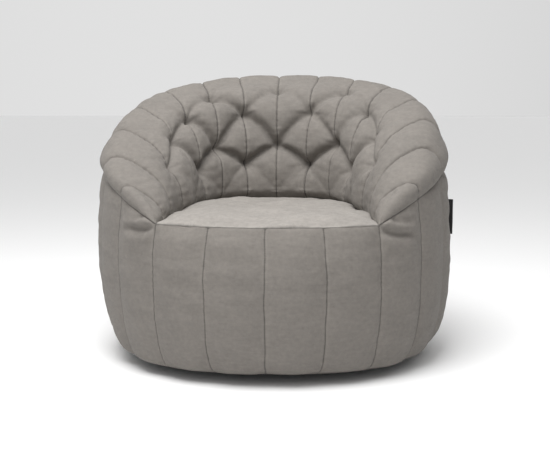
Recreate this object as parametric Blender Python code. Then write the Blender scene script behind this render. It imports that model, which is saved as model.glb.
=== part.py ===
"""Bean bag chair: a round base of sewn gores, a crowned seat and a padded wrap-round back.

Metres, +Z up. The origin is the middle of the underside, the chair faces -Y and +X is on the
right of someone who looks at its front. Angles are measured from the front, positive towards +X.

The cover is worked out as one closed skin of patches that share their seams. Each patch is then
thickened inwards along the skin's normals and drawn back a little from its seams, so that two
panels meet at a seam with the same mitre and never overlap. The liners and the bead fills are
the same surfaces, set further in.
"""

import math

import bmesh
import bpy
from mathutils import Matrix, Vector

# Overall form
DEPTH_SHARE = 0.97  # of the width
SEAM_RADIUS = 0.475  # of the side seams at the widest height
BELLY_HEIGHT = 0.250
BASE_RADIUS = 0.392  # of the seam between the sides and the underside, at the front
BASE_SQUARENESS = 0.07  # how much farther out that seam is half way between front and side
BASE_SEAM_HEIGHT = 0.024
SEAT_HEIGHT = 0.390  # of the seams round the seat
SEAT_CROWN = 0.018
FRONT_EDGE_RADIUS = 0.438  # of the seat's front seam, at the middle
CORNER_RADIUS = 0.460  # of the seat's front corners and of the collar seam
COLLAR_RISE = 0.165  # from the seat's corners up to the collar seam at the back
TOP_HEIGHT = 0.736  # of the seams over the top of the back
ARM_HALF_SPACING = 0.243  # from the middle to the crease beside the seat
SEAT_BACK_Y = 0.175  # of the crease behind the seat
ARM_END_Y = -0.030  # where the straight arms turn into the rounded back

# Gores
GORES = 20
FRONT_GORES = 4  # those under the seat's front seam
WALL_PUFF = 0.012  # of the middle of a gore beyond its seams
WRAP_PUFF = 0.008
COLUMNS = 2  # facets across a gore
WALL_ROWS = 6
WALL_ROW_POWER = 1.4  # over 1 sets the rows closer together near the floor, where the side curves
WRAP_ROWS = 12

# Roundness of the sections: 2 is an ellipse, more is squarer
WALL_POWER = 2.6
WRAP_POWER = 2.5
# How quickly the collar seam and the top of the arms climb behind the seat's corners
COLLAR_POWER = 3.0
TOP_POWER = 1.85

# Cloth and gaps
COVER_THICKNESS = 0.0030
LINER_THICKNESS = 0.0010
SEAM_GAP = 0.0006  # between two panels that are sewn together
LINER_CLEARANCE = 0.0070  # between the cover and a liner
FILL_CLEARANCE = 0.0030  # between a liner and its beads

# Underside and zip
FLAT_RADIUS = 0.300  # the chair stands on what is inside this
ZIP_SLOT_HALF_WIDTH = 0.009
ZIP_SLOT_RUN_OUT = 0.040  # beyond the chain's ends, where the slot narrows to nothing
ZIP_VALLEY_HALF_WIDTH = 0.042
ZIP_VALLEY_DEPTH = 0.008
TAPE_CLEARANCE = 0.0004  # above the underside panels that it is sewn to
TAPE_THICKNESS = 0.0008
TAPE_HALF_WIDTH = 0.020
CHAIN_HALF_LENGTH = 0.222
CHAIN_HALF_GAP = 0.0007
CHAIN_WIDTH = 0.0033
CHAIN_HEIGHT = 0.0036
SLIDER_LENGTH = 0.017
SLIDER_HALF_WIDTH = 0.0070
SLIDER_PLATE = 0.0015
SLIDER_WEB_HALF_WIDTH = 0.0004
SLIDER_CLEARANCE = 0.0005
SLIDER_LOOP_LENGTH = 0.008
SLIDER_LOOP_WIDTH = 0.0028
SLIDER_LOOP_DROP = 0.0022
SLIDER_LOOP_BAR = 0.0009
STOP_LENGTH = 0.004
STOP_OVERHANG = 0.0006

# Side label
LABEL_ANGLE = math.radians(90)
LABEL_HEIGHT = 0.096
LABEL_TOP = 0.418
LABEL_WIDTH = 0.0135
LABEL_THICKNESS = 0.0009
LABEL_LOOP_GAP = 0.0012
LABEL_CLEARANCE = 0.0005  # between the label and the side

# Inside
DIVIDER_DEPTH = 0.002  # below the web between the compartments
DIVIDER_INSET = 0.010  # from the cover's seams
# Where each liner is filled: a gore, and the first and last of its facets in the opening
OPENING_BASE = ("wall_10", 8, 16)
OPENING_BACK = ("wrap_7", 8, 16)

SEAT_RINGS = (1.0, 0.86, 0.64, 0.38)  # shares of the way from the seat's middle to its edge
SEAT_MIDDLE = Vector((0.0, -0.130, 0.0))

GORE_ANGLE = 2 * math.pi / GORES
CORNER_ANGLE = FRONT_GORES / 2 * GORE_ANGLE
WRAP_GORES = GORES - FRONT_GORES
LINER_DEPTH = COVER_THICKNESS + LINER_CLEARANCE
FILL_DEPTH = LINER_DEPTH + LINER_THICKNESS + FILL_CLEARANCE
WRAP_ENDS = 2  # gores at each end of the wrap that are too slim for a compartment of their own


# --- Lines of the design -----------------------------------------------------------------


def polar(angle, radius, height):
    return Vector((radius * math.sin(angle), -radius * math.cos(angle) * DEPTH_SHARE, height))


def climb(share, power):
    """0 at the seat's front corners, 1 at the middle of the back, steepest at the corners."""
    return 1 - (1 - share) ** power


def way_back(wrap):
    """Share of the way from the nearer seat corner to the middle of the back.

    wrap counts gores along the wrap, from the left corner at 0 to the right one.
    """
    return min(wrap, WRAP_GORES - wrap) / (WRAP_GORES / 2)


def wrap_angle(wrap):
    """The angle of the collar seam there, from the left corner round the back to the right."""
    return -CORNER_ANGLE - wrap * GORE_ANGLE


def collar_height(wrap):
    return SEAT_HEIGHT + COLLAR_RISE * climb(way_back(wrap), COLLAR_POWER)


def collar_point(wrap):
    return polar(wrap_angle(wrap), CORNER_RADIUS, collar_height(wrap))


def crease_point(wrap):
    """The crease between the seat and the wrap: straight beside the arms, then half an ellipse."""
    share = way_back(wrap)
    corner = polar(CORNER_ANGLE, CORNER_RADIUS, SEAT_HEIGHT)
    if share < 0.5:
        point = corner.lerp(Vector((ARM_HALF_SPACING, ARM_END_Y, SEAT_HEIGHT)), share * 2)
    else:
        turn = (share - 0.5) * math.pi
        depth = SEAT_BACK_Y - ARM_END_Y
        x, y = ARM_HALF_SPACING * math.cos(turn), ARM_END_Y + depth * math.sin(turn)
        point = Vector((x, y, SEAT_HEIGHT))
    if wrap < WRAP_GORES / 2:
        point.x = -point.x
    return point


def wrap_point(wrap, over):
    """A point of the wrap. over goes from 0 at the collar seam, over the top, to 1 at the crease."""
    collar, crease = collar_point(wrap), crease_point(wrap)
    middle, half = (collar + crease) / 2, (collar - crease) / 2
    top = SEAT_HEIGHT + (TOP_HEIGHT - SEAT_HEIGHT) * climb(way_back(wrap), TOP_POWER)
    across, up = math.cos(over * math.pi), math.sin(over * math.pi)
    across = math.copysign(abs(across) ** (2 / WRAP_POWER), across)
    up = abs(up) ** (2 / WRAP_POWER)
    return middle + half * across + Vector((0, 0, (top - middle.z) * up))


def collar_wrap(angle):
    """The place along the wrap that stands over an angle of the side."""
    return -(angle + CORNER_ANGLE) / GORE_ANGLE % GORES


def wall_top(angle):
    """The radius and height of the side's upper edge."""
    if abs(angle) <= CORNER_ANGLE:
        share = abs(angle) / CORNER_ANGLE
        return FRONT_EDGE_RADIUS + (CORNER_RADIUS - FRONT_EDGE_RADIUS) * share**2, SEAT_HEIGHT
    return CORNER_RADIUS, collar_height(collar_wrap(angle))


def rim_radius(angle):
    return BASE_RADIUS * (1 + BASE_SQUARENESS * math.sin(2 * angle) ** 2)


def wall_radius(angle, height):
    top_radius, top_height = wall_top(angle)
    foot = rim_radius(angle)
    if height < BELLY_HEIGHT:
        below = 1 - (height - BASE_SEAM_HEIGHT) / (BELLY_HEIGHT - BASE_SEAM_HEIGHT)
        out = (1 - below**WALL_POWER) ** (1 / WALL_POWER)
        return foot + (SEAM_RADIUS - foot) * out
    above = (height - BELLY_HEIGHT) / (top_height - BELLY_HEIGHT)
    return SEAM_RADIUS + (top_radius - SEAM_RADIUS) * above**2


def wall_point(angle, up):
    """A point of the side. up goes from 0 at the base seam to 1 at the seat's seam or the collar."""
    height = BASE_SEAM_HEIGHT + (wall_top(angle)[1] - BASE_SEAM_HEIGHT) * up**WALL_ROW_POWER
    return polar(angle, wall_radius(angle, height), height)


def smooth(share):
    share = min(1.0, max(0.0, share))
    return share * share * (3 - 2 * share)


def underside_point(x, y):
    """Flat where the chair stands, up to the base seam at the rim and to the zip in the middle."""
    radius, angle = math.hypot(x, y / DEPTH_SHARE), math.atan2(x, -y / DEPTH_SHARE)
    rim = smooth((radius - FLAT_RADIUS) / (rim_radius(angle) - FLAT_RADIUS))
    valley_width = ZIP_VALLEY_HALF_WIDTH - ZIP_SLOT_HALF_WIDTH
    valley = 1 - smooth((abs(x) - ZIP_SLOT_HALF_WIDTH) / valley_width)
    height = BASE_SEAM_HEIGHT * rim + ZIP_VALLEY_DEPTH * valley * (1 - rim)
    return Vector((x, y, height))


# --- The skin and its panels --------------------------------------------------------------


class Skin:
    """A closed surface of named patches, which share the points where they meet."""

    def __init__(self):
        self.mesh = bmesh.new()
        self.points = {}
        self.patches = {}

    def point(self, place):
        key = tuple(round(c, 5) for c in place)
        if key not in self.points:
            self.points[key] = self.mesh.verts.new(place)
        return self.points[key]

    def add(self, name, rows):
        """Faces between rows of points. Rows run left to right as seen from outside, bottom up."""
        faces = self.patches.setdefault(name, [])
        for low, high in zip(rows, rows[1:]):
            for corners in zip(low, low[1:], high[1:], high):
                a, b, c, d = (self.point(place) for place in corners)
                if (a.co - c.co).length < (b.co - d.co).length:
                    halves = ((a, b, c), (a, c, d))
                else:
                    halves = ((a, b, d), (b, c, d))
                faces += [self.mesh.faces.new(half) for half in halves if len(set(half)) == 3]

    def puff(self, amounts):
        """Moves points out along their normals, by the amounts given for their places."""
        self.mesh.normal_update()
        moves = [(self.point(p), self.point(p).normal * amount) for p, amount in amounts]
        for vert, move in moves:
            vert.co += move

    def inward(self, vert, depth):
        """The point that is depth below every face at a vertex."""
        slant = min(vert.normal.dot(face.normal) for face in vert.link_faces)
        return vert.co - vert.normal * depth / max(0.5, slant)


def drawn_back(vert, faces, gap):
    """How far a panel's edge point moves away from its seam, towards the panel's middle."""
    inside = [face for face in vert.link_faces if face in faces]
    if len(inside) == len(vert.link_faces):
        return Vector()
    middle = sum((face.calc_center_median() for face in inside), Vector()) / len(inside)
    way = middle - vert.co
    return (way - vert.normal * way.dot(vert.normal)).normalized() * gap


def new_object(name, mesh, material):
    data = bpy.data.meshes.new(name)
    mesh.to_mesh(data)
    mesh.free()
    data.materials.append(material)
    data.shade_smooth()
    data.set_sharp_from_angle(angle=math.radians(40))
    thing = bpy.data.objects.new(name, data)
    bpy.context.scene.collection.objects.link(thing)
    return thing


def panel(skin, name, patches, depth, thickness, gap, material):
    """A cloth panel: its patches from depth below the skin, extruded by its thickness."""
    skin.mesh.normal_update()
    skin.mesh.verts.index_update()
    faces = {face for patch in patches for face in skin.patches[patch]}
    verts = list(dict.fromkeys(vert for face in faces for vert in face.verts))
    sheet = bmesh.new()
    outside, inside = {}, {}
    for vert in verts:
        shift = drawn_back(vert, faces, gap)
        outside[vert] = sheet.verts.new(skin.inward(vert, depth) + shift)
        inside[vert] = skin.inward(vert, depth + thickness) + shift
    for face in faces:
        sheet.faces.new([outside[vert] for vert in face.verts])
    grown = bmesh.ops.extrude_face_region(sheet, geom=sheet.faces[:], use_keep_orig=True)
    above = {tuple(outside[vert].co): vert for vert in verts}
    below = {}
    for item in grown["geom"]:
        if isinstance(item, bmesh.types.BMVert):
            below[item] = above[tuple(item.co)]
            item.co = inside[below[item]]
    for face in sheet.faces[:]:
        lower = sorted((v for v in face.verts if v in below), key=lambda v: below[v].index)
        if len(lower) == 2 and len(face.verts) == 4:
            bmesh.utils.face_split(face, lower[0], outside[below[lower[1]]])
    bmesh.ops.recalc_face_normals(sheet, faces=sheet.faces)
    return new_object(name, sheet, material)


def filling(skin, name, depth, material):
    """A solid that fills the skin, up to depth below it."""
    skin.mesh.normal_update()
    solid = bmesh.new()
    moved = {vert: solid.verts.new(skin.inward(vert, depth)) for vert in skin.mesh.verts}
    for face in skin.mesh.faces:
        solid.faces.new([moved[vert] for vert in face.verts])
    bmesh.ops.recalc_face_normals(solid, faces=solid.faces)
    return new_object(name, solid, material)


def steps(first, last, count):
    return [first + (last - first) * i / count for i in range(count + 1)]


def add_walls(skin, columns):
    """The side gores, and how far each of their points is to be puffed out."""
    puffs = []
    for gore in range(GORES):
        start = -CORNER_ANGLE + gore * GORE_ANGLE
        angles = [turned(a) for a in steps(start, start + GORE_ANGLE, columns)]
        ups = steps(0, 1, WALL_ROWS)
        rows = [[wall_point(angle, up) for angle in angles] for up in ups]
        skin.add(f"wall_{gore}", rows)
        puffs += puff_of(rows, WALL_PUFF)
    return puffs


def turned(angle):
    """The same angle between minus and plus half a turn."""
    return (angle + math.pi) % (2 * math.pi) - math.pi


def puff_of(rows, most):
    """How far each inner point of a gore stands out, by its place between the seams."""
    found = []
    for i, row in enumerate(rows):
        along = math.sin(math.pi * i / (len(rows) - 1))
        for j, place in enumerate(row[1:-1], 1):
            across = math.sin(math.pi * j / (len(row) - 1))
            found.append((place, most * across * math.sqrt(max(0.0, along))))
    return found


def add_wrap(skin, columns, gores):
    """The gores over the arms and the back, and how far each point is to be puffed out."""
    puffs = []
    for gore in gores:
        wraps = steps(gore + 1, gore, columns)
        overs = steps(0, 1, WRAP_ROWS)
        rows = [[wrap_point(wrap, over) for wrap in wraps] for over in overs]
        skin.add(f"wrap_{gore}", rows)
        puffs += puff_of(rows, WRAP_PUFF)
    return puffs


def add_divider(skin, columns, gores, name, facing_up):
    """The web between the base and the back, from the collar seam to the crease."""
    for gore in gores:
        wraps = steps(gore + 1, gore, columns)
        rows = [[collar_point(w) for w in wraps], [crease_point(w) for w in wraps]]
        skin.add(name, rows if facing_up else rows[::-1])


def add_wrap_ends(skin, gores):
    """Closes the back's own compartment at its two ends."""
    for wrap, first in ((gores[0], True), (gores[-1] + 1, False)):
        arch = [wrap_point(wrap, over) for over in steps(0, 1, WRAP_ROWS)]
        foot = [arch[-1]] * len(arch)
        skin.add("end", [foot, arch] if first else [arch, foot])


def add_seat(skin, columns):
    front = steps(-CORNER_ANGLE, CORNER_ANGLE, FRONT_GORES * columns)
    back = steps(WRAP_GORES, 0, WRAP_GORES * columns)
    edge = [wall_point(a, 1) for a in front] + [crease_point(w) for w in back[1:]]
    rows = []
    for share in (*SEAT_RINGS, 0.0):
        height = SEAT_HEIGHT + SEAT_CROWN * (1 - share**2)
        ring = [SEAT_MIDDLE.lerp(point, share) for point in edge]
        rows.append([Vector((p.x, p.y, height)) for p in ring])
    skin.add("seat", rows)


def add_underside(skin, columns):
    """Two half discs with the zip's slot between them, each in rows from its rim to the middle."""
    count = GORES // 2 * columns
    for side in (1, -1):
        rows, slot = [], []
        for angle in steps(0, math.pi, count):
            rim = polar(angle, rim_radius(angle), 0)
            in_slot = abs(rim.y) < CHAIN_HALF_LENGTH + ZIP_SLOT_RUN_OUT
            edge = min(ZIP_SLOT_HALF_WIDTH if in_slot else 0.0, rim.x)
            foot = min(ZIP_VALLEY_HALF_WIDTH, edge + (rim.x - edge) * 0.35)
            flat = math.sqrt(max(0.0, FLAT_RADIUS**2 - (rim.y / DEPTH_SHARE) ** 2))
            flat = min(max(flat, foot + (rim.x - foot) * 0.3), foot + (rim.x - foot) * 0.85)
            rows.append([underside_point(side * x, rim.y) for x in (rim.x, flat, foot, edge)])
            slot.append([underside_point(side * edge, rim.y), underside_point(0, rim.y)])
        skin.add(f"underside_{side}", rows if side == 1 else rows[::-1])
        skin.add("slot", slot if side == 1 else slot[::-1])


def cover_skin():
    skin = Skin()
    puffs = add_walls(skin, COLUMNS) + add_wrap(skin, COLUMNS, range(WRAP_GORES))
    add_seat(skin, COLUMNS)
    add_underside(skin, COLUMNS)
    skin.puff(puffs)
    return skin


def base_compartment():
    skin = Skin()
    add_walls(skin, COLUMNS)
    add_divider(skin, COLUMNS, range(WRAP_ENDS), "shoulder", True)
    add_divider(skin, COLUMNS, range(WRAP_ENDS, WRAP_GORES - WRAP_ENDS), "web", True)
    add_divider(skin, COLUMNS, range(WRAP_GORES - WRAP_ENDS, WRAP_GORES), "shoulder", True)
    add_seat(skin, COLUMNS)
    add_underside(skin, COLUMNS)
    return skin


def back_compartment():
    skin = Skin()
    gores = range(WRAP_ENDS, WRAP_GORES - WRAP_ENDS)
    add_wrap(skin, COLUMNS, gores)
    add_divider(skin, COLUMNS, gores, "web", False)
    add_wrap_ends(skin, gores)
    return skin


# --- Pieces -------------------------------------------------------------------------------


def material(name, colour, roughness, metallic=0.0):
    made = bpy.data.materials.new(name)
    made.use_nodes = True
    shader = made.node_tree.nodes["Principled BSDF"]
    shader.inputs["Base Color"].default_value = (*colour, 1)
    shader.inputs["Roughness"].default_value = roughness
    shader.inputs["Metallic"].default_value = metallic
    made.diffuse_color = (*colour, 1)
    return made


def box(mesh, low, high):
    """A box from its low corner to its high one, set in metres."""
    size = Vector(high) - Vector(low)
    place = Matrix.Translation((Vector(high) + Vector(low)) / 2) @ Matrix.Diagonal((*size, 1))
    bmesh.ops.create_cube(mesh, size=1, matrix=place)


def prism(name, outline, start, way, material):
    """A solid with one outline, swept from start by way."""
    mesh = bmesh.new()
    base = mesh.faces.new([mesh.verts.new(Vector(start) + Vector(p)) for p in outline])
    swept = bmesh.ops.extrude_face_region(mesh, geom=[base], use_keep_orig=True)
    bmesh.ops.translate(
        mesh, verts=[v for v in swept["geom"] if isinstance(v, bmesh.types.BMVert)], vec=way
    )
    bmesh.ops.recalc_face_normals(mesh, faces=mesh.faces)
    return new_object(name, mesh, material)


def make_cover(cloth, base_cloth):
    skin = cover_skin()
    sizes = (0, COVER_THICKNESS, SEAM_GAP / 2)
    for gore in range(GORES):
        panel(skin, f"base_gore_{gore + 1:02d}", [f"wall_{gore}"], *sizes, cloth)
    for gore in range(WRAP_GORES):
        panel(skin, f"backrest_gore_{gore + 1:02d}", [f"wrap_{gore}"], *sizes, cloth)
    panel(skin, "seat_panel", ["seat"], *sizes, cloth)
    panel(skin, "underside_panel_right", ["underside_1"], *sizes, base_cloth)
    panel(skin, "underside_panel_left", ["underside_-1"], *sizes, base_cloth)
    skin.mesh.free()


def make_stuffing(name, skin, opening, liner_cloth, beads):
    """A liner with an opening for filling it, the flap that closes the opening, and the beads."""
    patch, first, last = opening
    skin.patches["opening"] = skin.patches[patch][first:last]
    skin.patches[patch] = skin.patches[patch][:first] + skin.patches[patch][last:]
    rest = [patch for patch in skin.patches if patch != "opening"]
    sizes = (LINER_DEPTH, LINER_THICKNESS)
    panel(skin, f"{name}_liner", rest, *sizes, 0, liner_cloth)
    panel(skin, f"{name}_liner_flap", ["opening"], *sizes, SEAM_GAP, liner_cloth)
    filling(skin, f"{name}_bead_fill", FILL_DEPTH, beads)


def make_divider(skin, material):
    """The web of lining between the two liners, inside the seams of the cover."""
    panel(skin, "divider_panel", ["web"], DIVIDER_DEPTH, LINER_THICKNESS, DIVIDER_INSET, material)


def make_zip(tape_cloth, plastic):
    tape_low = ZIP_VALLEY_DEPTH + COVER_THICKNESS + TAPE_CLEARANCE
    tape_high = tape_low + TAPE_THICKNESS
    middle = (tape_low + tape_high) / 2
    chain_low, chain_high = middle - CHAIN_HEIGHT / 2, middle + CHAIN_HEIGHT / 2
    chain_edge = CHAIN_HALF_GAP + CHAIN_WIDTH
    tape_end = CHAIN_HALF_LENGTH + STOP_LENGTH + SEAM_GAP * 2
    for word, side in (("right", 1), ("left", -1)):
        mesh = bmesh.new()
        xs = sorted((side * (chain_edge + SEAM_GAP / 2), side * TAPE_HALF_WIDTH))
        box(mesh, (xs[0], -tape_end, tape_low), (xs[1], tape_end, tape_high))
        new_object(f"zip_tape_{word}", mesh, tape_cloth)
        chamfer = CHAIN_WIDTH / 4
        outline = [
            (side * x, 0, z)
            for x, z in (
                (CHAIN_HALF_GAP, chain_low + chamfer),
                (CHAIN_HALF_GAP + chamfer, chain_low),
                (chain_edge - chamfer, chain_low),
                (chain_edge, chain_low + chamfer),
                (chain_edge, chain_high - chamfer),
                (chain_edge - chamfer, chain_high),
                (CHAIN_HALF_GAP + chamfer, chain_high),
                (CHAIN_HALF_GAP, chain_high - chamfer),
            )
        ]
        way = (0, 2 * CHAIN_HALF_LENGTH, 0)
        prism(f"zip_chain_{word}", outline, (0, -CHAIN_HALF_LENGTH, 0), way, plastic)
    for word, side in (("back", 1), ("front", -1)):
        mesh = bmesh.new()
        near = CHAIN_HALF_LENGTH + SEAM_GAP
        ys = sorted((side * near, side * (near + STOP_LENGTH)))
        low, high = chain_low - STOP_OVERHANG, chain_high + STOP_OVERHANG
        box(mesh, (-chain_edge, ys[0], low), (chain_edge, ys[1], high))
        new_object(f"zip_stop_{word}", mesh, plastic)
    make_slider(chain_low, chain_high, tape_low, tape_high, plastic)


def make_slider(chain_low, chain_high, tape_low, tape_high, plastic):
    """Two plates round the chains with a web between them, flanges beside the tapes, and a loop.

    The loop under the lower plate takes a hook: a slider that children can't open has no pull.
    """
    inner_low, inner_high = chain_low - SLIDER_CLEARANCE, chain_high + SLIDER_CLEARANCE
    low, high = inner_low - SLIDER_PLATE, inner_high + SLIDER_PLATE
    flange_low, flange_high = tape_low - SLIDER_CLEARANCE, tape_high + SLIDER_CLEARANCE
    wide, web = SLIDER_HALF_WIDTH, SLIDER_WEB_HALF_WIDTH
    inside = CHAIN_HALF_GAP + CHAIN_WIDTH + SLIDER_CLEARANCE
    half = [
        (web, inner_low),
        (inside, inner_low),
        (inside, flange_low),
        (wide, flange_low),
        (wide, low),
    ]
    upper = [(wide, high), (wide, flange_high), (inside, flange_high), (inside, inner_high)]
    upper.append((web, inner_high))
    right = [*half[::-1], *upper[::-1]]
    outline = [(x, 0, z) for x, z in right] + [(-x, 0, z) for x, z in right[::-1]]
    way = (0, SLIDER_LENGTH, 0)
    start = SLIDER_CLEARANCE - CHAIN_HALF_LENGTH
    slider = prism("zip_slider", outline, (0, start, 0), way, plastic)
    half_width, half_length = SLIDER_LOOP_WIDTH / 2, SLIDER_LOOP_LENGTH / 2
    foot = low - SLIDER_LOOP_DROP
    rise = low + SLIDER_PLATE / 2
    hole = half_length - SLIDER_LOOP_BAR
    loop = [(-half_length, rise), (-half_length, foot), (half_length, foot), (half_length, rise)]
    loop += [(hole, rise), (hole, foot + SLIDER_LOOP_BAR), (-hole, foot + SLIDER_LOOP_BAR)]
    loop.append((-hole, rise))
    outline = [(0, y, z) for y, z in loop]
    corner = (-half_width, start + SLIDER_LENGTH / 2, 0)
    bridge = prism("slider_loop", outline, corner, (2 * half_width, 0, 0), plastic)
    join(slider, bridge)


def join(thing, other):
    """Makes two solids that overlap into one."""
    union = thing.modifiers.new("union", "BOOLEAN")
    union.operation = "UNION"
    union.solver = "EXACT"
    union.object = other
    graph = bpy.context.evaluated_depsgraph_get()
    joined = bpy.data.meshes.new_from_object(thing.evaluated_get(graph))
    thing.modifiers.remove(union)
    thing.data = joined
    bpy.data.objects.remove(other)


def make_label(cloth):
    """A woven label, folded in half and sewn into a side seam, so that it stands out from it."""
    heights = (LABEL_TOP - LABEL_HEIGHT, LABEL_TOP - LABEL_HEIGHT / 2, LABEL_TOP)
    low, middle, high = (polar(LABEL_ANGLE, wall_radius(LABEL_ANGLE, z), z) for z in heights)
    out = polar(LABEL_ANGLE, 1, 0).normalized()
    bulge = max(0.0, (middle - low.lerp(high, 0.5)).dot(out))
    start = low + out * (bulge + LABEL_CLEARANCE)
    aside = Vector((-out.y, out.x, 0))
    ply, gap = LABEL_THICKNESS, LABEL_LOOP_GAP / 2
    fold = LABEL_WIDTH - ply
    outline = [(0, gap), (fold - gap, gap), (fold, 0), (fold - gap, -gap), (0, -gap)]
    outline += [(0, -gap - ply), (fold - gap, -gap - ply), (fold + ply, 0)]
    outline += [(fold - gap, gap + ply), (0, gap + ply)]
    prism("side_label", [out * a + aside * b for a, b in outline], start, high - low, cloth)


def main():
    for thing in list(bpy.data.objects):
        bpy.data.objects.remove(thing)
    cloth = material("cover_cloth", (0.30, 0.28, 0.255), 0.9)
    base_cloth = material("underside_cloth", (0.06, 0.058, 0.055), 0.85)
    lining = material("liner_cloth", (0.75, 0.74, 0.72), 0.8)
    beads = material("polystyrene_beads", (0.88, 0.88, 0.86), 0.7)
    plastic = material("zip_plastic", (0.03, 0.03, 0.03), 0.4)
    label_cloth = material("label_cloth", (0.012, 0.012, 0.013), 0.7)
    make_cover(cloth, base_cloth)
    base, back = base_compartment(), back_compartment()
    make_divider(base, lining)
    make_stuffing("base", base, OPENING_BASE, lining, beads)
    make_stuffing("backrest", back, OPENING_BACK, lining, beads)
    make_zip(base_cloth, plastic)
    make_label(label_cloth)


main()
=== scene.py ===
"""The bean bag chair's looks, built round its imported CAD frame.

Metres, +Z up; the chair faces -Y and +X is on the right of someone who looks at its front.
Angles are measured from the front, positive towards +X. A gore's place along the wrap of the
arms and back is counted in gores, from the seat's left front corner at 0 to the right one.
"""

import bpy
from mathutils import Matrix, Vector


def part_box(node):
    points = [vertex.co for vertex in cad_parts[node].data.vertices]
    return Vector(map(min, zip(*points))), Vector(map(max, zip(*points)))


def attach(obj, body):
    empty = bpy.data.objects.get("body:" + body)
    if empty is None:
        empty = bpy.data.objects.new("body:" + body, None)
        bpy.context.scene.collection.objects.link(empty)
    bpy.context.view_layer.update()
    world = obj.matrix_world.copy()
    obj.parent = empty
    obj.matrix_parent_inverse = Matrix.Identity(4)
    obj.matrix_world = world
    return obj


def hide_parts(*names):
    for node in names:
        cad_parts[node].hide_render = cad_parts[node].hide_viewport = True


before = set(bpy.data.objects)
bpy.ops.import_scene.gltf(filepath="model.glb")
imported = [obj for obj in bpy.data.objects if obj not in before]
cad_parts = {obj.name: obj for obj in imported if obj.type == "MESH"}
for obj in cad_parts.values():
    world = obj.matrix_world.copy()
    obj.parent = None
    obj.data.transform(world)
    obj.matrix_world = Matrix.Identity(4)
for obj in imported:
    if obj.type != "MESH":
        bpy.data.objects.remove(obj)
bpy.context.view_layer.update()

import math

import bmesh
import bpy
import numpy as np
from mathutils import Vector
from mathutils.kdtree import KDTree

# The design's sizes, as in the CAD
DEPTH_SHARE = 0.97
SEAM_RADIUS = 0.475
BELLY_HEIGHT = 0.250
BASE_RADIUS = 0.392
BASE_SQUARENESS = 0.07
BASE_SEAM_HEIGHT = 0.024
SEAT_HEIGHT = 0.390
SEAT_CROWN = 0.018
FRONT_EDGE_RADIUS = 0.438
CORNER_RADIUS = 0.460
COLLAR_RISE = 0.165
TOP_HEIGHT = 0.736
ARM_HALF_SPACING = 0.243
SEAT_BACK_Y = 0.175
SEAT_MIDDLE_Y = -0.130
ARM_END_Y = -0.030
GORES = 20
FRONT_GORES = 4
WALL_POWER = 2.6
WRAP_POWER = 2.5
COLLAR_POWER = 3.0
TOP_POWER = 1.85
FLAT_RADIUS = 0.300
ZIP_SLOT_HALF_WIDTH = 0.009
ZIP_VALLEY_HALF_WIDTH = 0.042
ZIP_VALLEY_DEPTH = 0.008

# The zip's slot closes under the ends of its tapes, sooner than in the CAD
ZIP_SLOT_HALF_LENGTH = 0.2225
ZIP_SLOT_RUN_OUT = 0.0045

GORE_ANGLE = 2 * math.pi / GORES
CORNER_ANGLE = FRONT_GORES / 2 * GORE_ANGLE
WRAP_GORES = GORES - FRONT_GORES

# Meshes: columns are for each gore
GORE_COLUMNS = 16
BASE_COLUMNS = 14
WALL_ROWS = 46
WRAP_ROWS = 96
SEAT_COLUMNS = 10
SEAT_RINGS = 26
UNDERSIDE_ROWS = 240
UNDERSIDE_COLUMNS = 24

# Seams
SEAM_CROWDING = 0.060  # how much closer the columns are beside them
SEAM_GROOVE = 0.0016
WRAP_GROOVE = 0.0034
SEAM_WIDTH = 0.0022

# Cloth
SETTLING_FRAMES = 22
PINNED_EDGE = 0.003  # how far from the edges of the side and the seat points are held
WRAP_PINNED_EDGE = 0.004
DETAIL_FADE = 0.004  # how far from a piece's edges its fine detail is complete

# Finishes
COVER_COLOUR = (0.173, 0.158, 0.142)
LIT_SEAT_COLOUR = (0.256, 0.238, 0.218)  # the cover's cloth painted lighter: painted light for the seat's upward, top-lit face
COVER_SHEEN = 0.05
UNDERSIDE_COLOUR = (0.030, 0.029, 0.028)
LABEL_COLOUR = (0.006, 0.006, 0.0065)
TAPE_COLOUR = (0.050, 0.048, 0.046)
PLASTIC_COLOUR = (0.045, 0.044, 0.043)

# The wrap, where the settled cloth differs from the CAD
BACK_SQUARENESS = 2.6  # added to the section's power on the inner side of the middle of the back
CREST_FORWARD = 0.12  # how far the crest leans towards the seat, as a share of the section
LOW_ROLL = 0.026  # how far the back bulges over the seat
OVERHANG = 0.009  # of the wrap over the side, beside the collar seam

# How the chair in use has settled to one side
LEFT_SLUMP = 0.008
SEAM_WANDER = 0.0009
# How much higher the wrap's top is than in the CAD, by gore
ARM_LIFTS = {0: 0, 1: -0.006, 2: -0.010, 3: -0.004, 4: 0.004, 5: 0.010, 6: 0.006, 8: 0, 9: 0.005,
             10: 0.013, 11: 0.022, 12: 0.028, 13: 0.028, 14: 0.020, 15: 0.009, 16: 0}

# The seat cushion
SEAT_ROLL = 0.075  # how far in from its edge its top is reached
SEAT_DIP = 0.009
SEAT_TUCK = (0.222, -0.112)  # a small pinch beside the right arm

# The side label: a ribbon folded in two
LABEL_COLUMNS = 13  # of points across each of its layers
LABEL_ROWS = 30
LABEL_ROOT = 0.006  # how far into the seam it goes
LABEL_OVER = 0.002  # beyond the CAD's label
LABEL_HALF_FOLD = 0.0009
LABEL_BEND = 0.006
LABEL_WAVE = 0.0012


# --- Lines of the design, for arrays of places ---------------------------------------------


def smooth(share):
    share = np.clip(share, 0, 1)
    return share * share * (3 - 2 * share)


def polar(angle, radius, height):
    x, y = radius * np.sin(angle), -radius * np.cos(angle) * DEPTH_SHARE
    return np.stack(np.broadcast_arrays(x, y, height), axis=-1)


def climb(share, power):
    """0 at the seat's front corners, 1 at the middle of the back, steepest at the corners."""
    return 1 - (1 - share) ** power


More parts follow.
